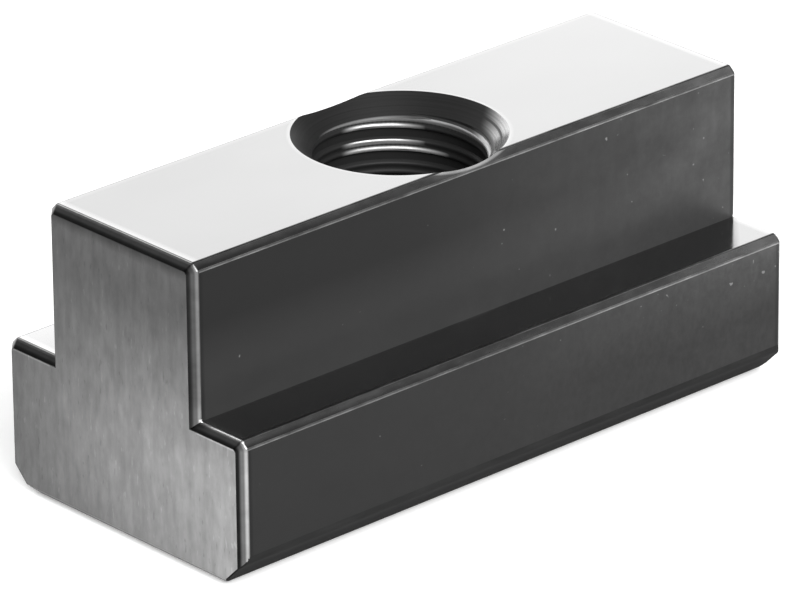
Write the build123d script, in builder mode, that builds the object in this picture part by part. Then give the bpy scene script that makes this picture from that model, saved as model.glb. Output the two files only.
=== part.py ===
from build123d import *
import os

# T slot nut, long pattern, for a 22 mm slot and an M20 bolt. Millimetres.
# X runs along the slot, Y across it and Z up the bolt. The origin is the middle
# of the underside, on the axis of the tapped bore.

# Driving dimensions
length = 74.0                 # along the slot
base_width = 35.0             # across the wings, which run in the wide part of the slot
base_height = 16.0            # from the underside to the ledges that bear on the slot's lips
slot_width = 22.0             # between the lips of the slot
neck_clearance = 0.4          # how much narrower the neck is than that
height = 32.5                 # overall, up to the top of the neck

long_edge_chamfer = 0.75      # along the top edges of the neck and of the wings
end_chamfer = 0.8             # round the T outline of both ends
base_chamfer = 3.2            # along both lower edges of the base, clear of the slot's corners
base_corner_radius = 1.5      # where that chamfer runs into the side and into the underside

thread_diameter = 20.0        # M20 coarse
thread_pitch = 2.5
mouth_angle = 90.0            # of both countersinks
top_mouth_margin = 1.8        # how much wider than the thread the upper countersink is
bottom_mouth_margin = 1.0     # and the lower one

# The bore is drawn plain, at the size of the tapping drill. The upper mouth is a
# little wider than the neck, so it breaks out of both of the neck's long edges.
neck_width = slot_width - neck_clearance
bore_diameter = thread_diameter - thread_pitch
top_mouth_diameter = thread_diameter + top_mouth_margin
bottom_mouth_diameter = thread_diameter + bottom_mouth_margin


with BuildPart() as t_slot_nut:
    # T section, standing on its base
    with BuildSketch(Plane.YZ.offset(-length / 2)):
        Rectangle(base_width, base_height, align=(Align.CENTER, Align.MIN))
        Rectangle(neck_width, height, align=(Align.CENTER, Align.MIN))
    extrude(amount=length)

    # Broken edges along the top of the neck and along the outside of both ledges
    long_edges = t_slot_nut.edges().filter_by(Axis.X)
    neck_edges = long_edges.group_by(Axis.Z)[-1]
    ledge_edges = long_edges.filter_by_position(Axis.Z, base_height, base_height)
    wing_edges = ledge_edges.group_by(Axis.Y)[0] + ledge_edges.group_by(Axis.Y)[-1]
    chamfer(neck_edges + wing_edges, long_edge_chamfer)

    # Broken edges all round both ends
    end_faces = t_slot_nut.faces().filter_by(Axis.X)
    chamfer(end_faces.edges(), end_chamfer)

    # The lower edges of the base are cut back last, right through the broken edges of
    # both ends, so the ends of these two cuts stay sharp
    with BuildSketch(Plane.YZ.offset(-length / 2)):
        Rectangle(base_width, height, align=(Align.CENTER, Align.MIN))
        base_corners = vertices().group_by(Axis.Y)[0]
        chamfer(base_corners, base_chamfer)
        chamfer_ends = vertices().group_by(Axis.Y)[:2]
        fillet(chamfer_ends[0] + chamfer_ends[1], base_corner_radius)
    extrude(amount=length, mode=Mode.INTERSECT)

    # Tapped bore, countersunk from both sides
    with Locations(Plane.XY.offset(height)):
        CounterSinkHole(bore_diameter / 2, top_mouth_diameter / 2, counter_sink_angle=mouth_angle)
    with Locations(-Plane.XY):
        CounterSinkHole(bore_diameter / 2, bottom_mouth_diameter / 2, counter_sink_angle=mouth_angle)


t_slot_nut.part.label = "t_slot_nut"

os.makedirs("parts", exist_ok=True)
export_step(t_slot_nut.part, "parts/t_slot_nut.step")
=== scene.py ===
from math import asin, ceil, cos, pi, radians, sin, tan

import bmesh
import bpy
from mathutils import Matrix, Vector


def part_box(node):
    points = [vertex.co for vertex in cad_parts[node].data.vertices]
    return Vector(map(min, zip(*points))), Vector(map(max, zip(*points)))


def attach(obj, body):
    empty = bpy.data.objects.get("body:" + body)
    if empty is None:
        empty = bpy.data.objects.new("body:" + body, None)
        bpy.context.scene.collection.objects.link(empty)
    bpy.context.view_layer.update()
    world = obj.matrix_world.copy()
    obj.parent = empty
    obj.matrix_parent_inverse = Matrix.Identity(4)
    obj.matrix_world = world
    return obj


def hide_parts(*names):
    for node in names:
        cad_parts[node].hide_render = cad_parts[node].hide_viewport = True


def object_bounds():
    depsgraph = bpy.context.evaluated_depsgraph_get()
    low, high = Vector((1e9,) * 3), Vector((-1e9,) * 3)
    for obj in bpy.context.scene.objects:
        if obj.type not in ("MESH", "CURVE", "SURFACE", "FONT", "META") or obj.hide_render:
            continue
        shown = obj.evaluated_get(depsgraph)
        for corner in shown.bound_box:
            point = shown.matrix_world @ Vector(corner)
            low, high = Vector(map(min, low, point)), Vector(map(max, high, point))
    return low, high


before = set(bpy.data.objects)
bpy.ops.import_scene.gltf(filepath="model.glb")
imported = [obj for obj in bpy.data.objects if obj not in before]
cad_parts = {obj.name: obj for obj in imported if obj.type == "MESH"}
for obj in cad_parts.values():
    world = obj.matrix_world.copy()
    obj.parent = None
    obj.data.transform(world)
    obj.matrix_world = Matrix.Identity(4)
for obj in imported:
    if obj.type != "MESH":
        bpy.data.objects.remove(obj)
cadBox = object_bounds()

mm = 0.001     # the nut is modelled in millimetres and brought to metres at the end


# The block. Its overall size comes from the frame.

blockLow, blockHigh = (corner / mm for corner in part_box("t_slot_nut"))
block = {
    "length": blockHigh.x - blockLow.x,
    "baseWidth": blockHigh.y - blockLow.y,
    "height": blockHigh.z - blockLow.z,
    "baseHeight": 16.0,         # up to the ledges
    "neckWidth": 21.6,
    "longChamfer": 0.75,        # top edges of the neck and of the wings
    "endChamfer": 0.8,          # round both ends
    "endRounding": 0.15,        # where that chamfer meets the end face
    "shoulderRounding": 0.3,    # and where it meets the sides
    "chamferSteps": 4,
    "baseChamfer": 3.2,         # lower edges of the base, cut last
    "baseRounding": 1.5,        # where that chamfer meets side and underside
    "baseSteps": 6,
    "onPlane": 0.0001,          # a point this near to a cut lies on it
    "edgeRounding": 0.15,       # left by tumbling on the other sharp edges,
    "edgeAngle": 20.0,          # which are those that turn by more than this
    "edgeSteps": 3,
}

# How each face is finished. A face's material index is its place in this list.
finishes = ["blackOxide", "groundSteel", "groundEnd", "baseCut", "longChamfer", "endChamfer", "softEdge",
            "turnedMouth", "cutThread"]

# How much of a face's normal lies along an axis
facing = {
    "square": 0.999,            # a face square to the axis
    "slanted": 0.01,            # a flat face that slants at all
    "edgeSlanted": 0.05,        # a rounded edge that belongs to an end
    "edgeDown": 0.1,            # a rounded edge that belongs to the underside
}


def flatFinish(normal):
    x, y, z = (abs(part) for part in normal)
    down = normal.z < -facing["slanted"]
    if x > facing["square"] or (x > facing["slanted"] and down):
        return finishes.index("groundEnd")
    if z > facing["square"]:
        return finishes.index("groundSteel")
    if y > facing["square"]:
        return finishes.index("blackOxide")
    if down:
        return finishes.index("baseCut")
    return finishes.index("longChamfer" if x < facing["slanted"] else "endChamfer")


def edgeFinish(normal):
    if normal.z < -facing["edgeDown"]:
        return finishes.index("baseCut")
    return finishes.index("softEdge" if abs(normal.x) < facing["edgeSlanted"] else "endChamfer")


def arcPoints(centre, radius, start, end, steps):
    angles = [start + (end - start) * i / steps for i in range(steps + 1)]
    return [(centre[0] + radius * cos(a), centre[1] + radius * sin(a)) for a in angles]


def tOutline(d, inset):
    # Half of the T as (y, z), from the underside up, and then the mirrored half.
    # inset moves every side of it inwards by the same distance.
    halfBase = d["baseWidth"] / 2 - inset
    halfNeck = d["neckWidth"] / 2 - inset
    ledge = d["baseHeight"] - inset
    top = d["height"] - inset
    cut = d["longChamfer"] - inset + inset * tan(pi / 8)    # a 45 degree side moves in by the same distance
    half = [(halfBase, inset), (halfBase, ledge - cut), (halfBase - cut, ledge)]
    half += [(halfNeck, ledge), (halfNeck, top - cut), (halfNeck - cut, top)]
    return half + [(-y, z) for y, z in reversed(half)]


def endProfile(d):
    # (distance from the end face, inset) from the end face out over its chamfer to the sides
    e, inner, outer = d["endChamfer"], d["endRounding"], d["shoulderRounding"]
    innerRun, outerRun = inner * tan(pi / 8), outer * tan(pi / 8)
    profile = arcPoints((inner, e + innerRun), inner, pi, pi * 5 / 4, d["chamferSteps"])
    return profile + arcPoints((e + outerRun, outer), outer, pi * 5 / 4, pi * 3 / 2, d["chamferSteps"])


def cutBase(made, d):
    # Cuts back both lower edges, one facet of the rounded chamfer after another
    half, c, r = d["baseWidth"] / 2, d["baseChamfer"], d["baseRounding"]
    run = r * tan(pi / 8)                           # from a corner of the chamfer to the start of its arc
    facets = []
    for centre, start in (((half - c - run, r), -pi / 2), ((half - r, c + run), -pi / 4)):
        arc = arcPoints(centre, r, start, start + pi / 4, d["baseSteps"])
        facets += list(zip(arc, arc[1:]))
    facets.append((facets[d["baseSteps"] - 1][1], facets[d["baseSteps"]][0]))
    for side in (1, -1):
        for (y0, z0), (y1, z1) in facets:
            outwards = Vector((0, side * (z1 - z0), -(y1 - y0)))
            whole = made.verts[:] + made.edges[:] + made.faces[:]
            sliced = bmesh.ops.bisect_plane(made, geom=whole, dist=d["onPlane"],
                                            plane_co=(0, side * y0, z0), plane_no=outwards,
                                            clear_outer=True)
            rim = [e for e in sliced["geom_cut"] if isinstance(e, bmesh.types.BMEdge)]
            bmesh.ops.contextual_create(made, geom=rim)


def makeBlock(d):
    made = bmesh.new()
    end = d["length"] / 2
    profile = endProfile(d)
    stations = [(x - end, inset) for x, inset in profile]
    stations += [(end - x, inset) for x, inset in reversed(profile)]
    rings = [[made.verts.new((x, y, z)) for y, z in tOutline(d, inset)] for x, inset in stations]
    for near, far in zip(rings, rings[1:]):
        for i in range(len(near)):
            j = (i + 1) % len(near)
            made.faces.new((near[i], near[j], far[j], far[i]))
    made.faces.new(rings[0])
    made.faces.new(rings[-1])
    cutBase(made, d)
    bmesh.ops.recalc_face_normals(made, faces=made.faces)
    for face in made.faces:
        face.material_index = flatFinish(face.normal)

    edgeAngle = radians(d["edgeAngle"])
    corners = [e for e in made.edges if e.is_convex and e.calc_face_angle() > edgeAngle]
    rounded = bmesh.ops.bevel(made, geom=corners, affect="EDGES", offset=d["edgeRounding"],
                              segments=d["edgeSteps"], profile=0.5, clamp_overlap=False)    # a true arc
    for face in rounded["faces"]:
        face.normal_update()
        face.material_index = edgeFinish(face.normal)
    return made


# The tapped bore: what the two countersinks and the tap take out of the block

mouths = {
    "topWidth": 21.8,
    "bottomWidth": 21.0,
    "angle": 90.0,
    "rimRounding": 0.12,
    "rimSteps": 4,
    "shortOfFace": 0.08,        # part of the rim's arc that is left off, so that it can't touch the face
    "steps": 180,
    "spare": 2.0,               # how far the cutter stands out of the block
}

thread = {
    "pitch": 2.5,               # M20 coarse, right-handed
    "boreDiameter": 17.5,
    "rootDiameter": 18.3,       # the roots are clogged with oxide
    "flankAngle": 30.0,         # of each flank, from square to the axis
    "crestWidth": 1.17,
    "lipRadius": 0.26,          # a formed crest ends in two lips
    "lipSteps": 4,
    "dishRadius": 0.57,         # with a shallow hollow between them
    "dishSteps": 4,
    "startAngle": 53.5,         # turns the whole helix about its axis
    "stepsPerTurn": 120,
    "turnsBelow": 2,            # the helix starts this far under the block
    "spareTurns": 3,            # and has this many turns more than the block is high
}


def makeMouth(d, width, face, outward):
    # A cone with its rim rounded over. face is the height of the block's face, outward is 1 up and -1 down.
    lean = radians(d["angle"] / 2)
    slope = pi / 2 - lean
    radius, soft = width / 2, d["rimRounding"]
    run = soft * tan(slope / 2)
    almostFlat = pi / 2 + slope * d["shortOfFace"]
    profile = arcPoints((radius + run, -soft), soft, pi / 2 + slope, almostFlat, d["rimSteps"])
    profile += [(radius + run, d["spare"])]

    made = bmesh.new()
    tip = made.verts.new((0, 0, face - outward * radius / tan(lean)))
    middle = made.verts.new((0, 0, face + outward * d["spare"]))
    columns = []
    for k in range(d["steps"]):
        a = 2 * pi * k / d["steps"]
        columns.append([made.verts.new((r * cos(a), r * sin(a), face + outward * h)) for r, h in profile])
    for near, far in zip(columns, columns[1:] + columns[:1]):
        made.faces.new((tip, far[0], near[0]))
        made.faces.new((middle, near[-1], far[-1]))
        for j in range(len(profile) - 1):
            made.faces.new((near[j], far[j], far[j + 1], near[j + 1]))
    return finishCutter(made, "turnedMouth")


def threadProfile(d):
    # (height, radius) over one pitch, from the middle of one crest to just short of the next
    bore, root = d["boreDiameter"] / 2, d["rootDiameter"] / 2
    lip, dish = d["lipRadius"], d["dishRadius"]
    flank = radians(d["flankAngle"])
    bend = pi / 2 - flank                           # from the crest round to the flank
    lipMiddle = d["crestWidth"] / 2 - lip * tan(bend / 2)
    rootStart = d["crestWidth"] / 2 + (root - bore) * tan(flank)
    lean = asin(lipMiddle / (dish + lip))           # how steeply the hollow runs out into a lip
    bottom = bore + (dish + lip) * (1 - cos(lean))
    rise = arcPoints((0.0, bottom - dish), dish, pi / 2, pi / 2 - lean, d["dishSteps"])
    rise += arcPoints((lipMiddle, bore + lip), lip, -pi / 2 - lean, bend - pi / 2, d["lipSteps"])[1:]
    rise += [(rootStart, root)]
    return rise + [(d["pitch"] - h, r) for h, r in reversed(rise[1:])]


def makeTap(d, height):
    # The thread's profile carried up a helix. One turn's last row is the next turn's first,
    # so the surface is whole, and a fan of faces closes it at each end.
    made = bmesh.new()
    profile = threadProfile(d)
    perTurn = d["stepsPerTurn"]
    steps = (ceil(height / d["pitch"]) + d["spareTurns"]) * perTurn
    columns = []
    for k in range(steps + perTurn + 1):
        a = 2 * pi * k / perTurn + radians(d["startAngle"])
        lift = d["pitch"] * (k / perTurn - d["turnsBelow"])
        used = profile if k <= steps else profile[:1]
        columns.append([made.verts.new((r * cos(a), r * sin(a), lift + h)) for h, r in used])
    for k in range(steps):
        near = columns[k] + columns[k + perTurn][:1]
        far = columns[k + 1] + columns[k + 1 + perTurn][:1]
        for j in range(len(profile)):
            made.faces.new((near[j], far[j], far[j + 1], near[j + 1]))
    for first in (0, steps):
        rim = [columns[first + k][0] for k in range(perTurn + 1)] + columns[first][:0:-1]
        halfUp = d["pitch"] * (first / perTurn - d["turnsBelow"] + 1 / 2)
        middle = made.verts.new((0, 0, halfUp))
        for a, b in zip(rim, rim[1:] + rim[:1]):
            made.faces.new((a, b, middle))
    return finishCutter(made, "cutThread")


def finishCutter(made, finish):
    bmesh.ops.recalc_face_normals(made, faces=made.faces)
    for face in made.faces:
        face.material_index = finishes.index(finish)
    return made


# The nut: the block with the bore carved out of it

carving = {
    "sliver": 0.0005,           # the cuts leave slivers far too thin to see, and those are closed up
    "smoothAngle": 35.0,        # edges that turn by less are shaded smooth
}


def addObject(name, made, materials):
    mesh = bpy.data.meshes.new(name)
    made.to_mesh(mesh)
    made.free()
    for material in materials:
        mesh.materials.append(material)
    thing = bpy.data.objects.new(name, mesh)
    bpy.context.scene.collection.objects.link(thing)
    return thing


def carve(thing, cutters, sliver):
    for cutter in cutters:
        cut = thing.modifiers.new(cutter.name, "BOOLEAN")
        cut.operation = "DIFFERENCE"
        cut.solver = "EXACT"
        cut.object = cutter
    depsgraph = bpy.context.evaluated_depsgraph_get()
    carved = bpy.data.meshes.new_from_object(thing.evaluated_get(depsgraph))
    thing.modifiers.clear()
    thing.data = carved
    clean = bmesh.new()
    clean.from_mesh(carved)
    bmesh.ops.remove_doubles(clean, verts=clean.verts, dist=sliver)
    bmesh.ops.dissolve_degenerate(clean, edges=clean.edges, dist=sliver)
    clean.to_mesh(carved)
    clean.free()
    for cutter in cutters:
        bpy.data.objects.remove(cutter)


def makeNut(d, materials):
    nut = addObject("tSlotNut", makeBlock(block), materials)
    top = addObject("topMouth", makeMouth(mouths, mouths["topWidth"], block["height"], 1), materials)
    bottom = addObject("bottomMouth", makeMouth(mouths, mouths["bottomWidth"], 0.0, -1), materials)
    tap = addObject("tap", makeTap(thread, block["height"]), materials)
    carve(nut, [top, bottom, tap], d["sliver"])
    nut.data.transform(Matrix.Scale(mm, 4))
    nut.data.shade_smooth()
    nut.data.set_sharp_from_angle(angle=radians(d["smoothAngle"]))
    flat = nut.modifiers.new("keepFlatsFlat", "WEIGHTED_NORMAL")
    flat.keep_sharp = True
    return nut


# Sums for the shaders. A Value is a number that a shader works out, and each sum done with it adds a node.

grains = {
    "most": (0.3, 0.7),         # nearly all values of a grain lie between these,
    "middle": 0.5,              # on both sides of this
    "seedStep": (1.0, 1.7, 2.3),    # how far a seed of 1 moves it along X, Y and Z
}


def addNode(owner, kind, **settings):
    node = owner.id_data.nodes.new(kind)
    for name, value in settings.items():
        setattr(node, name, value)
    return node


def connect(value, socket):
    # value is a Value or a plain number
    if isinstance(value, Value):
        socket.id_data.links.new(value.output, socket)
    elif socket.type == "RGBA":
        socket.default_value = (value, value, value, 1)
    else:
        socket.default_value = value


def fill(node, values):
    for name, value in values.items():
        connect(value, node.inputs[name])


class Value:
    def __init__(self, output):
        self.output = output

    def math(self, operation, other=None):
        node = addNode(self.output, "ShaderNodeMath", operation=operation)
        connect(self, node.inputs[0])
        if other is not None:
            connect(other, node.inputs[1])
        return Value(node.outputs["Value"])

    def __add__(self, other):
        return self.math("ADD", other)

    def __sub__(self, other):
        return self.math("SUBTRACT", other)

    def __mul__(self, other):
        return self.math("MULTIPLY", other)

    def __gt__(self, other):                        # 1 where it's true, and otherwise 0
        return self.math("GREATER_THAN", other)

    def __lt__(self, other):
        return self.math("LESS_THAN", other)

    def __abs__(self):
        return self.math("ABSOLUTE")

    def orMore(self, other):                        # the larger of the two
        return self.math("MAXIMUM", other)

    def remap(self, fromLow, fromHigh, toLow, toHigh, smooth=False):
        # Takes one range to another, and stops at its ends
        kind = "SMOOTHSTEP" if smooth else "LINEAR"
        node = addNode(self.output, "ShaderNodeMapRange", interpolation_type=kind)
        fill(node, {"Value": self, "From Min": fromLow, "From Max": fromHigh, "To Min": toLow,
                    "To Max": toHigh})
        return Value(node.outputs["Result"])

    def fade(self, start, stop, toLow, toHigh, smooth=False):
        # The same from one place to another, in millimetres
        return self.remap(start * mm, stop * mm, toLow, toHigh, smooth)

    def spread(self, toLow, toHigh):
        # The same over a grain's usual range
        return self.remap(*grains["most"], toLow, toHigh)

    def between(self, whenZero, whenOne):
        # The same from 0 to 1
        return self.remap(0.0, 1.0, whenZero, whenOne)

    def mix(self, whenZero, whenOne):
        # The same for two colours
        first, second, result = 6, 7, 2             # which sockets of the node hold colours
        node = addNode(self.output, "ShaderNodeMix", data_type="RGBA")
        connect(self, node.inputs["Factor"])
        connect(whenZero, node.inputs[first])
        connect(whenOne, node.inputs[second])
        return Value(node.outputs[result])


class Place:
    # Where a point lies in the nut's own frame, in metres
    def __init__(self, shader):
        where = addNode(shader, "ShaderNodeTexCoord")
        parts = addNode(shader, "ShaderNodeSeparateXYZ")
        connect(Value(where.outputs["Object"]), parts.inputs["Vector"])
        self.x, self.y, self.z = (Value(output) for output in parts.outputs)

    def fromAxis(self):                             # how far it is from the bore's axis
        return (self.x * self.x + self.y * self.y).math("SQRT")


def grain(shader, scale, detail=2.0, roughness=0.5, seed=0.0):
    # Noise in the nut's own frame. scale is how many features lie in a metre along X, Y and Z.
    where = addNode(shader, "ShaderNodeTexCoord")
    stretch = addNode(shader, "ShaderNodeMapping")
    stretch.inputs["Scale"].default_value = scale
    stretch.inputs["Location"].default_value = [seed * step for step in grains["seedStep"]]
    noise = addNode(shader, "ShaderNodeTexNoise")
    connect(Value(where.outputs["Object"]), stretch.inputs["Vector"])
    fill(noise, {"Vector": Value(stretch.outputs["Vector"]), "Scale": 1.0, "Detail": detail,
                 "Roughness": roughness})
    return Value(noise.outputs["Fac"])


def addBump(shader, height, depth, strength=0.5):
    # depth is in millimetres
    bump = addNode(shader, "ShaderNodeBump")
    fill(bump, {"Strength": strength, "Distance": depth * mm, "Height": height})
    connect(Value(bump.outputs["Normal"]), shader.inputs["Normal"])


def newMaterial(name):
    material = bpy.data.materials.new(name)
    material.use_nodes = True
    return material, material.node_tree.nodes["Principled BSDF"]


# Finishes. (start, stop, low, high) means that something goes from low to high between two places, which
# are in millimetres, and (low, high) alone is the same over a grain. Notes say where it's otherwise.

groundSteel = {
    "lines": {"scale": (60, 5000, 60), "detail": 3.0},      # left by the wheel, along the nut
    "lineDepth": 0.002,
    "patches": {"scale": (40, 60, 40), "detail": 3.0, "seed": 3.0},
    "patchTone": (-0.012, 0.012),
    "tone": (-37.0, 37.0, 0.575, 0.63),             # along X
    "neckEdgeHighlight": (9.2, 10.0, 0.0, 0.08),             # painted highlights beside the neck's +Y edge,
    "farLedgeHighlight": (10.7, 16.5, 0.0, 0.09),            # over the +Y ledge,
    "mouthRingHighlight": (11.4, 11.0, 0.0, 0.09),           # round the top mouth,
    "ends": (35.2, 35.8, 0.0, 0.15),                # and beside both ends
    "nearLedgeReflection": (-10.7, -10.9, 0.0, 1.0),          # where a painted reflection of the dark neck on the -Y ledge starts,
    "neckReflectionAlongX": (-37.0, 30.0, 0.17, 0.29),          # how dark that painted reflection is along X,
    "slant": 0.914,                                 # and where it stops near the +X end, past the neck,
    "slantEnd": (45.1, 46.7, 1.0, 0.0),             # over X less the slant times Y
    "roughness": (0.10, 0.16),
}


def paintGroundSteel(shader, d):
    # Ground along the nut, with painted highlights along its far edges, at its ends and round the top
    # mouth, and a painted reflection of the dark neck on the -Y ledge
    at = Place(shader)
    lines = grain(shader, **d["lines"])
    # painted highlights by the neck's +Y edge, over the +Y ledge, round the top mouth and at both ends
    tone = at.x.fade(*d["tone"]) + at.y.fade(*d["neckEdgeHighlight"]) + at.y.fade(*d["farLedgeHighlight"])
    tone += at.fromAxis().fade(*d["mouthRingHighlight"])
    tone += abs(at.x).fade(*d["ends"])
    # painted reflection of the dark neck on the -Y ledge, ending at a slanted line near the +X end
    paintedNeckReflection = at.y.fade(*d["nearLedgeReflection"]) * at.x.fade(*d["neckReflectionAlongX"])
    tone -= paintedNeckReflection * (at.x - at.y * d["slant"]).fade(*d["slantEnd"])
    tone += grain(shader, **d["patches"]).spread(*d["patchTone"])
    fill(shader, {"Base Color": tone, "Metallic": 1.0, "Roughness": lines.spread(*d["roughness"])})
    addBump(shader, lines, d["lineDepth"])


groundEnd = {
    "lines": {"scale": (60, 2600, 260), "detail": 4.0, "roughness": 0.6},       # left by the wheel, upright
    "lineDepth": 0.008,
    "marks": {"scale": (60, 1300, 420), "detail": 3.0, "roughness": 0.55, "seed": 5.0},
    "blots": {"scale": (60, 300, 220), "detail": 4.0, "roughness": 0.6, "seed": 11.0},
    "streaks": {"scale": (60, 900, 45), "seed": 23.0},
    "contrast": {"lines": 0.02, "marks": 0.14, "blots": 0.13, "streaks": 0.08},
    "contrastOver": (0.25, 0.75),
    "nicks": {"scale": (60, 2600, 700), "seed": 17.0},
    "paleNicks": (0.66, 0.74, 1.0, 1.25),           # over the highest of that grain
    "darkNicks": (0.34, 0.26, 1.0, 0.78),           # and over the lowest
    "tone": 0.088,                                  # of the end face high on the neck, where the painted pool of light doesn't reach
    "lower": (26.0, 11.5, 0.0, 0.205),              # how much a painted pool of light adds lower down,
    "side": (17.5, -17.5, 0.14, 1.01),              # and how much of that from side to side
    "shadeUnderTopEdge": (30.6, 31.7, 1.0, 0.42),              # painted shade under the neck's top edge
    "shadeUnderTopEdgeWander": 0.3,                            # how far the blots move its border
    "ledgeGlint": 15.12,                             # a painted highlight along this height, across the wings,
    "ledgeGlintFade": (0.08, 0.2, 0.5, 0.0),
    "wings": 10.9,                                  # which start this far from the middle
    "roughness": (0.36, 0.48),
}


def paintGroundEnd(shader, d):
    # Ground up and down, with a painted pool of light low on the -Y side, so it's darker towards the top of
    # the neck
    at = Place(shader)
    # a painted pool of light, low down and on the -Y side
    tone = at.z.fade(*d["lower"]) * at.y.fade(*d["side"]) + d["tone"]
    patterns = {name: grain(shader, **d[name]) for name in d["contrast"]}
    for name, contrast in d["contrast"].items():
        tone *= patterns[name].remap(*d["contrastOver"], 1 - contrast, 1 + contrast)
    nicks = grain(shader, **d["nicks"])
    tone *= nicks.remap(*d["paleNicks"])
    tone *= nicks.remap(*d["darkNicks"])
    # painted shade under the neck's top edge, with a ragged border
    wander = d["shadeUnderTopEdgeWander"] * mm
    tone *= (at.z + patterns["blots"].spread(-wander, wander)).fade(*d["shadeUnderTopEdge"])
    # a painted highlight line across the wings
    paintedGlint = (abs(at.y) > d["wings"] * mm) * abs(at.z - d["ledgeGlint"] * mm).fade(*d["ledgeGlintFade"])
    tone *= paintedGlint + 1.0
    lines = patterns["lines"]
    fill(shader, {"Base Color": tone, "Metallic": 1.0, "Roughness": lines.spread(*d["roughness"])})
    addBump(shader, lines, d["lineDepth"])


blackOxide = {
    "clouds": {"scale": (90, 140, 140), "detail": 5.0, "roughness": 0.65},
    "rubs": {"scale": (700, 700, 160), "detail": 4.0, "roughness": 0.6, "seed": 13.0},
    "lines": {"scale": (90, 2500, 2500), "detail": 3.0, "seed": 2.0},
    "lineDepth": 0.006,
    "specks": {"scale": (1400, 1400, 1400), "detail": 1.0, "seed": 9.0},
    "pits": {"scale": (1500, 1500, 1100), "detail": 3.0, "roughness": 0.6, "seed": 31.0},
    "neck": 15.8,                                   # above this height it's the neck
    "tone": (-37.0, 5.0, 0.0072, 0.0102),           # of whole oxide, along X
    "thin": (-12.0, 50.0, 0.0, 1.0),                # how thin it gets along X,
    "thinUpwards": (8.0, 15.2, 0.12, 0.83),         # how much of that there is over the height,
    "thinOnNeck": (16.0, 27.0, -0.30, 0.15),        # and how much more on the neck
    "thinTone": 0.054,                              # what the steel under thin oxide adds
    "footLightOnNeck": (16.0, 26.0, 0.0205, 0.0),        # painted light round the foot of the neck, from the ledge
    "filmOnBase": 0.0062,
    "cloudsInThin": (0.75, 1.25),
    "rubsInThin": (0.88, 1.12),
    "cloudsInTone": (0.94, 1.06),
    "mottling": (-20.0, 20.0, 0.10, 0.70),          # how strongly the pits show along X,
    "mottlingOnNeck": 0.4,                          # and how much of that on the neck
    "shadeBesideEnds": (35.5, 35.9, 1.0, 0.6),           # painted shade there
    "bareSpecks": (0.79, 0.84, 0.0, 0.5),           # over the highest of the specks
    "rubbed": (0.12, 0.05),                         # more of them in thin oxide, on the base and the neck
    "bareTone": 0.25,
    "metallic": (0.0, 0.5, 0.0, 0.55),              # over how thin it is
    "roughness": (0.30, 0.40),
    "specular": 0.12,
}


def paintBlackOxide(shader, d):
    # Dull black. Towards +X it's thinner and mottled and the steel shows through, most of all on the neck.
    # The foot of the neck is paler with painted light from the ledge, the base has a film of dried oil, and
    # painted shade darkens the sides beside the ends.
    at = Place(shader)
    clouds = grain(shader, **d["clouds"])
    onNeck = at.z > d["neck"] * mm
    height = onNeck * at.z.fade(*d["thinOnNeck"]) + at.z.fade(*d["thinUpwards"])
    thin = at.x.fade(*d["thin"], smooth=True) * height * clouds.spread(*d["cloudsInThin"])
    thin *= grain(shader, **d["rubs"]).spread(*d["rubsInThin"])
    # painted light from the ledge round the foot of the neck, and dried oil on the base
    filmAndFootLight = onNeck * at.z.fade(*d["footLightOnNeck"]) + onNeck.between(d["filmOnBase"], 0.0)
    tone = thin * d["thinTone"] + filmAndFootLight + at.x.fade(*d["tone"])
    tone *= clouds.spread(*d["cloudsInTone"])
    mottling = (grain(shader, **d["pits"]) - grains["middle"]) * at.x.fade(*d["mottling"])
    tone *= mottling * onNeck.between(1.0, d["mottlingOnNeck"]) + 1.0
    # painted shade on the sides beside the ends
    tone *= abs(at.x).fade(*d["shadeBesideEnds"], smooth=True)
    bare = grain(shader, **d["specks"]) + thin * onNeck.between(*d["rubbed"])
    bare = bare.remap(*d["bareSpecks"])
    fill(shader, {"Base Color": bare.mix(tone, d["bareTone"]), "Metallic": thin.remap(*d["metallic"]),
                  "Roughness": clouds.spread(*d["roughness"]), "Specular IOR Level": d["specular"]})
    addBump(shader, grain(shader, **d["lines"]), d["lineDepth"])


baseCut = {
    "stains": {"scale": (200, 700, 700), "detail": 4.0, "roughness": 0.6, "seed": 8.0},
    "stainTone": (0.8, 1.2),
    "stainDepth": 0.01,
    "tone": (2.0, 3.4, 0.006, 0.017),               # over its height, darker near the floor as painted shade
    "roughness": 0.7,
    "specular": 0.05,
}


def paintBaseCut(shader, d):
    # Left rough by the cutter, so the oxide on it is matt
    at = Place(shader)
    stains = grain(shader, **d["stains"])
    # painted shade: darker low down, beside the floor
    tone = at.z.fade(*d["tone"]) * stains.spread(*d["stainTone"])
    fill(shader, {"Base Color": tone, "Roughness": d["roughness"], "Specular IOR Level": d["specular"]})
    addBump(shader, stains, d["stainDepth"])


endChamfer = {
    "stains": {"scale": (300, 500, 500), "detail": 4.0, "roughness": 0.6, "seed": 8.0},
    "stainTone": (0.85, 1.15),
    # inwards, where 0 is the end face
    # the grey and bright bands are painted reflection, worn bright towards the sides too
    "grey": (-0.14, -0.40, 0.0, 0.11),
    "bright": (-0.50, -0.68, 0.0, 0.25),
    "innerEdge": (-0.10, -0.32, 0.5, 1.0),          # darker there, but not on the wings,
    "outerEdgeShade": (-0.78, -0.88, 1.0, 0.35),         # and darker at the other edge all round, as painted shade
    "lip": (-0.62, -0.72, 0.0, 0.5),                # a painted highlight beside the -Y ledge
    # upwards
    "wingTop": (14.9, 15.3),                        # from the wings' sides to the ledges
    "wingContrast": (1.0, 0.55),                    # the tone so far is multiplied by this,
    "wingTone": (0.012, 0.045),                     # and this is added to it
    "neckFoot": (16.2, 18.5),                       # from the ledges to the neck's sides
    "neckContrast": (1.0, 0.64),
    "neckTone": (0.0, 0.014),                       # taken away from it
    "lipHighlightFrom": (15.7, 15.8, 0.0, 1.0),
    "ledgeTop": 16.2,                               # the lip and the base end here
    "farWingShade": 0.6,                                 # the +Y wing is this much darker, as painted shade
    "roughness": 0.3,
}


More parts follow.
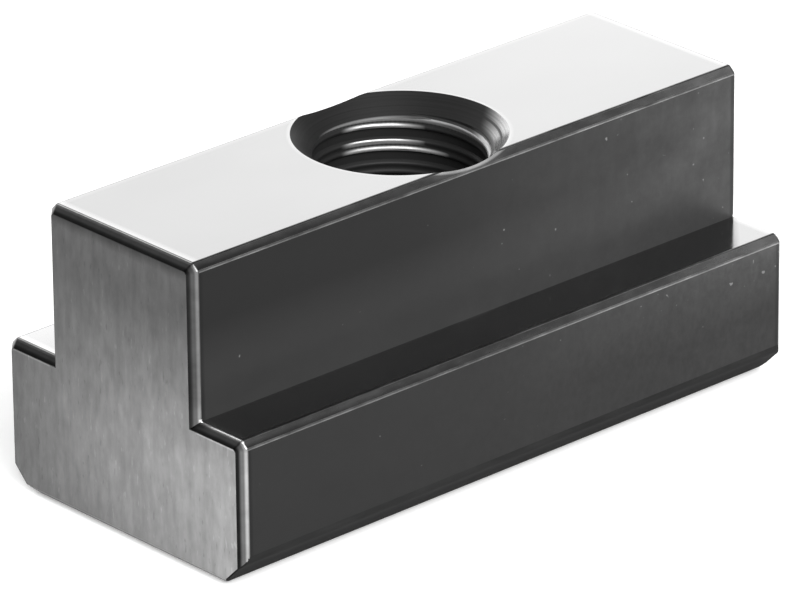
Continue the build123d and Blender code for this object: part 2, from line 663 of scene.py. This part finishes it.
def paintEndChamfer(shader, d):
    # Black beside the end face, grey across the flat and bright where it meets the sides, as painted
    # reflection and wear; also a painted highlight on the -Y ledge's lip and painted shade on the +Y wing
    # and the outer edge
    at = Place(shader)
    fromEnd = abs(at.x) - block["length"] * mm / 2
    tone = fromEnd.fade(*d["grey"], smooth=True) + fromEnd.fade(*d["bright"], smooth=True)
    tone *= at.z.fade(*d["wingTop"], *d["wingContrast"])
    tone *= at.z.fade(*d["neckFoot"], *d["neckContrast"])
    tone += at.z.fade(*d["wingTop"], *d["wingTone"])
    tone -= at.z.fade(*d["neckFoot"], *d["neckTone"])
    onBase = at.z < d["ledgeTop"] * mm
    tone *= ((at.y > 0.0) * onBase).between(1.0, d["farWingShade"])
    tone *= fromEnd.fade(*d["innerEdge"]).orMore(at.z.fade(*d["wingTop"], 1.0, 0.0))
    tone *= fromEnd.fade(*d["outerEdgeShade"])
    # a painted highlight on the -Y ledge's lip
    tone += fromEnd.fade(*d["lip"]) * at.z.fade(*d["lipHighlightFrom"]) * onBase * (at.y < 0.0)
    tone *= grain(shader, **d["stains"]).spread(*d["stainTone"])
    fill(shader, {"Base Color": tone, "Metallic": 1.0, "Roughness": d["roughness"]})


longChamfer = {
    "stains": {"scale": (300, 700, 700), "detail": 4.0, "roughness": 0.65, "seed": 8.0},
    "stainTone": (0.8, 1.2),
    "tone": (-37.0, 37.0, 0.038, 0.115),            # along X
    "paleEnd": (20.0, 36.0, 0.0, 0.07),             # and paler still near +X
    "wingUpper": (15.4, 15.7, 0.0, 1.0),            # the upper part of a wing's chamfer, up to its top,
    "wingTop": 16.5,
    "neckUpper": (32.0, 32.3, 0.0, 1.0),            # and of the neck's,
    "upperTone": (-37.0, 0.0, 0.05, 0.0),           # are paler towards -X
    "rubbed": (0.25, 0.55, 0.45, 0.04),             # outwards, where 0 is the edge of the top mouth
    "rubbedEnd": (0.8, 1.6, 1.0, 0.0),
    "roughness": (0.2, 0.32),
}


def paintLongChamfer(shader, d):
    # Oxide on milled steel, thinner towards +X like that of the sides, and rubbed beside the top mouth
    at = Place(shader)
    stains = grain(shader, **d["stains"])
    upper = at.z.fade(*d["wingUpper"]) * (at.z < d["wingTop"] * mm) + at.z.fade(*d["neckUpper"])
    tone = at.x.fade(*d["tone"]) + upper * at.x.fade(*d["upperTone"]) + at.x.fade(*d["paleEnd"])
    mouthEdge = mouths["topWidth"] / 2 - block["height"]
    fromMouth = at.fromAxis() - at.z
    rubbed, rubbedEnd = (fromMouth.fade(mouthEdge + start, mouthEdge + stop, low, high)
                         for start, stop, low, high in (d["rubbed"], d["rubbedEnd"]))
    tone += rubbed * rubbedEnd
    tone *= stains.spread(*d["stainTone"])
    fill(shader, {"Base Color": tone, "Metallic": 1.0, "Roughness": stains.spread(*d["roughness"])})


softEdge = {
    "wear": {"scale": (300, 600, 600), "detail": 4.0, "roughness": 0.6, "seed": 7.0},
    "wearTone": (0.08, 0.21),
    "alongX": (-5.0, 20.0, 1.0, 1.5),
    "roughness": 0.28,
}


def paintSoftEdge(shader, d):
    # Worn through to the steel here and there, and more so towards +X
    at = Place(shader)
    tone = grain(shader, **d["wear"]).spread(*d["wearTone"]) * at.x.fade(*d["alongX"])
    fill(shader, {"Base Color": tone, "Metallic": 1.0, "Roughness": d["roughness"]})


# The finish of the bore depends on where a point lies round it, looking towards its +X +Y wall
boreWall = {
    "acrossX": 0.738,
    "acrossY": 0.674,
    "shaded": 1.8,              # how far to the right the painted shade on the bright edges is deepest
}


def boreSides(at, d):
    # How far to the right a point lies, how far away, and how far from where the painted shade is deepest
    right = at.x * d["acrossX"] - at.y * d["acrossY"]
    away = at.x * d["acrossY"] + at.y * d["acrossX"]
    return right, away, abs(right - d["shaded"] * mm)


turnedMouth = {
    "rings": {"scale": (30, 30, 9000), "seed": 4.0},        # left by the countersink
    "ringTone": (0.75, 1.25),
    "ringDepth": 0.006,
    "thin": (6.1, 9.6, 0.0, 0.88),                  # how thin the oxide gets on the right, where it's painted bright as a highlight,
    "thinLean": 0.35,                               # and less so further away
    "halfWay": 10.13,                               # distance of a dark ring from the axis
    "halfWayRing": (0.04, 0.16, 0.2, 1.0),
    "footRing": (9.25, 9.50, 0.3, 1.0),             # a dark ring at the foot of the cone
    "worn": (9.02, 8.89, 0.0, 0.4),                 # a painted highlight where it meets the first crest,
    "rimHighlightFrom": (-8.1, -6.6, 0.0, 1.0),             # but not on the left
    "shade": (0.5, 3.6, 0.3, 1.0),                  # painted shade on that highlight, from the shaded place
    "tones": (0.013, 0.42),                         # of the oxide and of the steel
    "roughness": (0.45, 0.2),
    "specular": 0.12,
}


def paintTurnedMouth(shader, d):
    # Black, with thin oxide painted bright as a highlight on the right but for two dark rings, and a
    # painted highlight where it meets the first crest, dimmed by painted shade near the shaded place
    at = Place(shader)
    right, away, fromShaded = boreSides(at, boreWall)
    radius = at.fromAxis()
    rings = grain(shader, **d["rings"])
    # painted highlight on the right, where the streaks of light fall
    thin = (right - away * d["thinLean"]).fade(*d["thin"], smooth=True)
    thin *= abs(radius - d["halfWay"] * mm).fade(*d["halfWayRing"], smooth=True)
    thin *= radius.fade(*d["footRing"])
    # a painted highlight where the cone meets the first crest, dimmed by painted shade
    worn = radius.fade(*d["worn"]) * right.fade(*d["rimHighlightFrom"]) * fromShaded.fade(*d["shade"])
    bright = thin.orMore(worn)
    tone = bright.mix(*d["tones"]) * rings.spread(*d["ringTone"])
    fill(shader, {"Base Color": tone, "Metallic": bright, "Roughness": bright.between(*d["roughness"]),
                  "Specular IOR Level": d["specular"]})
    addBump(shader, rings, d["ringDepth"])


cutThread = {
    "stains": {"scale": (300, 300, 500), "detail": 3.0, "seed": 6.0},
    "stainTone": (0.0115, 0.015),
    "gaps": {"scale": (260, 260, 400), "seed": 21.0},
    "gapTone": (0.35, 0.55, 0.6, 1.0),              # over that grain
    "rings": {"scale": (90, 90, 3500), "seed": 4.0},
    "ringTone": (0.35, 0.65, 0.3, 1.6),             # over that grain
    "lip": (8.87, 8.81, 0.0, 1.0),                  # inwards to the crests, where 0 is the axis
    "glintWindow": (-6.0, -3.8, 0.0, 1.0),               # where the painted highlight on the lips starts, on the left,
    "glintWindowEnd": (1.6, 5.0, 1.0, 0.0),              # and where they stop, on the right
    # by how far it lies up or down from the middle of the bore, which is the same all along a lip
    "nearEnds": (9.7, 10.1, 0.0, 1.0),
    "shorten": (11.0, 11.4, 0.0, 2.4),              # how much sooner the outer lips stop
    "firstLip": (13.60, 13.70, 0.0, 1.0),
    "firstGroove": (14.0, 14.2, 0.0, 1.0),
    "shade": (0.5, 3.6, 0.4, 0.9),                  # painted shade on the first lip, from the shaded place
    "thin": (7.0, 9.2, 0.0, 0.5),                   # a painted highlight in the first groove, on the right
    "brightTone": 0.70,
    "roughness": (0.55, 0.40),
    "specular": 0.25,
}


def paintCutThread(shader, d):
    # Black inside. Near both ends the lips of the crests are worn bright and placed as painted highlights,
    # all the way round on the first one, dimmed there by painted shade, and only on the +X +Y wall after
    # it. The first groove has a painted highlight on the right.
    at = Place(shader)
    right, away, fromShaded = boreSides(at, boreWall)
    turned = (right * -1.0).math("ARCTAN2", away)
    unwound = at.z - block["height"] * mm / 2 - turned * (thread["pitch"] * mm / (2 * pi))
    deep = abs(unwound)
    start, stop, low, high = d["shorten"]
    reach = right + deep.fade(start, stop, low * mm, high * mm)
    # painted highlights on the worn lips, only where the glints fall
    glintWindow = right.fade(*d["glintWindow"], smooth=True) * reach.fade(*d["glintWindowEnd"])
    glintWindow *= grain(shader, **d["gaps"]).remap(*d["gapTone"])
    glintWindow = glintWindow.orMore(fromShaded.fade(*d["shade"]) * deep.fade(*d["firstLip"]))
    lip = at.fromAxis().fade(*d["lip"]) * deep.fade(*d["nearEnds"]) * glintWindow
    # a painted highlight in the first groove
    grooveHighlight = right.fade(*d["thin"], smooth=True) * deep.fade(*d["firstGroove"])
    grooveHighlight *= grain(shader, **d["rings"]).remap(*d["ringTone"])
    bright = lip.orMore(grooveHighlight)
    oxide = grain(shader, **d["stains"]).mix(*d["stainTone"])
    fill(shader, {"Base Color": bright.mix(oxide, d["brightTone"]), "Metallic": bright,
                  "Roughness": bright.between(*d["roughness"]), "Specular IOR Level": d["specular"]})


paints = {
    "blackOxide": (paintBlackOxide, blackOxide),
    "groundSteel": (paintGroundSteel, groundSteel),
    "groundEnd": (paintGroundEnd, groundEnd),
    "baseCut": (paintBaseCut, baseCut),
    "longChamfer": (paintLongChamfer, longChamfer),
    "endChamfer": (paintEndChamfer, endChamfer),
    "softEdge": (paintSoftEdge, softEdge),
    "turnedMouth": (paintTurnedMouth, turnedMouth),
    "cutThread": (paintCutThread, cutThread),
}


def makeFinish(name):
    material, shader = newMaterial(name)
    paint, d = paints[name]
    paint(shader, d)
    return material


materials = [makeFinish(name) for name in finishes]
print("finishes:", ", ".join(finishes))

nut = makeNut(carving, materials)
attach(nut, "root")
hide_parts("t_slot_nut")
print("nut:", len(nut.data.polygons), "faces")


# Floor and light

floor = {
    "size": 8.0,                # metres
    "colour": 0.86,
    "roughness": 0.9,
    "specular": 0.1,
    "glow": 0.25,               # it's a white sheet with light under it
    "gap": 0.02,                # under the nut, in millimetres, so that the two faces never coincide
}

keyLight = {
    "compass": -107.0,          # degrees round the nut from +X, and above the horizon
    "height": 42.0,
    "distance": 1.15,           # metres, like its width and depth
    "width": 1.3,
    "depth": 0.5,
    "radiance": 9.5,
}

sky = {
    "ambient": 0.13,
    "horizon": 0.9,             # added low down, all the way round
    "horizonFrom": 0.05,        # sines of the elevations where that starts to fade and where it ends
    "horizonTop": 0.4,
    "screens": {
        # added by pale screens: the direction of each, and the cosines of the angles where it fades
        "behind": {"strength": 1.10, "to": (0.45, 0.87, 0.20), "inner": 0.81, "outer": 0.64},
        "frontRight": {"strength": 0.6, "to": (0.62, -0.40, 0.67), "inner": 0.985, "outer": 0.94},
        "front": {"strength": 0.8, "to": (-0.30, -0.85, 0.42), "inner": 0.85, "outer": 0.60},
        "overhead": {"strength": 3.5, "to": (-0.02, 0.66, 0.75), "inner": 0.98, "outer": 0.94},
    },
}


def addFloor(d):
    made = bmesh.new()
    bmesh.ops.create_grid(made, x_segments=1, y_segments=1, size=d["size"] / 2)
    bmesh.ops.translate(made, verts=made.verts, vec=(0, 0, -d["gap"] * mm))
    material, shader = newMaterial("paleFloor")
    fill(shader, {"Base Color": d["colour"], "Roughness": d["roughness"], "Emission Color": 1.0,
                  "Emission Strength": d["glow"], "Specular IOR Level": d["specular"]})
    ground = addObject("floor", made, [material])


def addLight(name, d, aim):
    lamp = bpy.data.lights.new(name, "AREA")
    lamp.shape = "RECTANGLE"
    lamp.size, lamp.size_y = d["width"], d["depth"]
    lamp.energy = d["radiance"] * pi * lamp.size * lamp.size_y
    compass, height = radians(d["compass"]), radians(d["height"])
    towards = Vector((cos(compass) * cos(height), sin(compass) * cos(height), sin(height)))
    holder = bpy.data.objects.new(name, lamp)
    holder.location = aim + towards * d["distance"]
    holder.rotation_euler = (-towards).to_track_quat("-Z", "Y").to_euler()
    holder.visible_camera = False
    bpy.context.scene.collection.objects.link(holder)


def addSky(d):
    world = bpy.data.worlds.new("studio")
    bpy.context.scene.world = world
    world.use_nodes = True
    background = world.node_tree.nodes["Background"]
    where = addNode(background, "ShaderNodeTexCoord")
    parts = addNode(background, "ShaderNodeSeparateXYZ")
    direction = Value(where.outputs["Generated"])
    connect(direction, parts.inputs["Vector"])
    horizon = Value(parts.outputs["Z"]).remap(d["horizonFrom"], d["horizonTop"], d["horizon"], 0.0)

    total = horizon + d["ambient"]
    for screen in d["screens"].values():
        towards = addNode(background, "ShaderNodeVectorMath", operation="DOT_PRODUCT")
        connect(direction, towards.inputs[0])
        towards.inputs[1].default_value = Vector(screen["to"]).normalized()
        cosine = Value(towards.outputs["Value"])
        total += cosine.remap(screen["outer"], screen["inner"], 0.0, screen["strength"])
    fill(background, {"Strength": total, "Color": 1.0})


addFloor(floor)
addLight("key", keyLight, (cadBox[0] + cadBox[1]) / 2)
addSky(sky)
print("floor and lights")


# Camera

camera = {
    "azimuth": -42.416,         # degrees round the nut from the -Y side, and above the horizon
    "elevation": 23.872,
    "roll": -0.546,
    "distance": 0.7853,         # metres, like the aim and the clip
    "aim": (-0.00045, -0.0003, 0.01506),
    "clip": (0.05, 20.0),
    "lens": 352.5,
    "sensor": 36.0,
}


def addCamera(d):
    a, e = radians(d["azimuth"]), radians(d["elevation"])
    back = Vector((sin(a) * cos(e), -cos(a) * cos(e), sin(e)))
    lens = bpy.data.cameras.new("camera")
    lens.lens = d["lens"]
    lens.sensor_width = d["sensor"]
    lens.clip_start, lens.clip_end = d["clip"]
    holder = bpy.data.objects.new("camera", lens)
    holder.location = Vector(d["aim"]) + back * d["distance"]
    holder.rotation_mode = "QUATERNION"
    upright = (-back).to_track_quat("-Z", "Y")
    holder.rotation_quaternion = upright @ Matrix.Rotation(radians(d["roll"]), 3, "Z").to_quaternion()
    bpy.context.scene.collection.objects.link(holder)
    bpy.context.scene.camera = holder


addCamera(camera)
bpy.context.scene.view_settings.view_transform = "Standard"
print("camera")
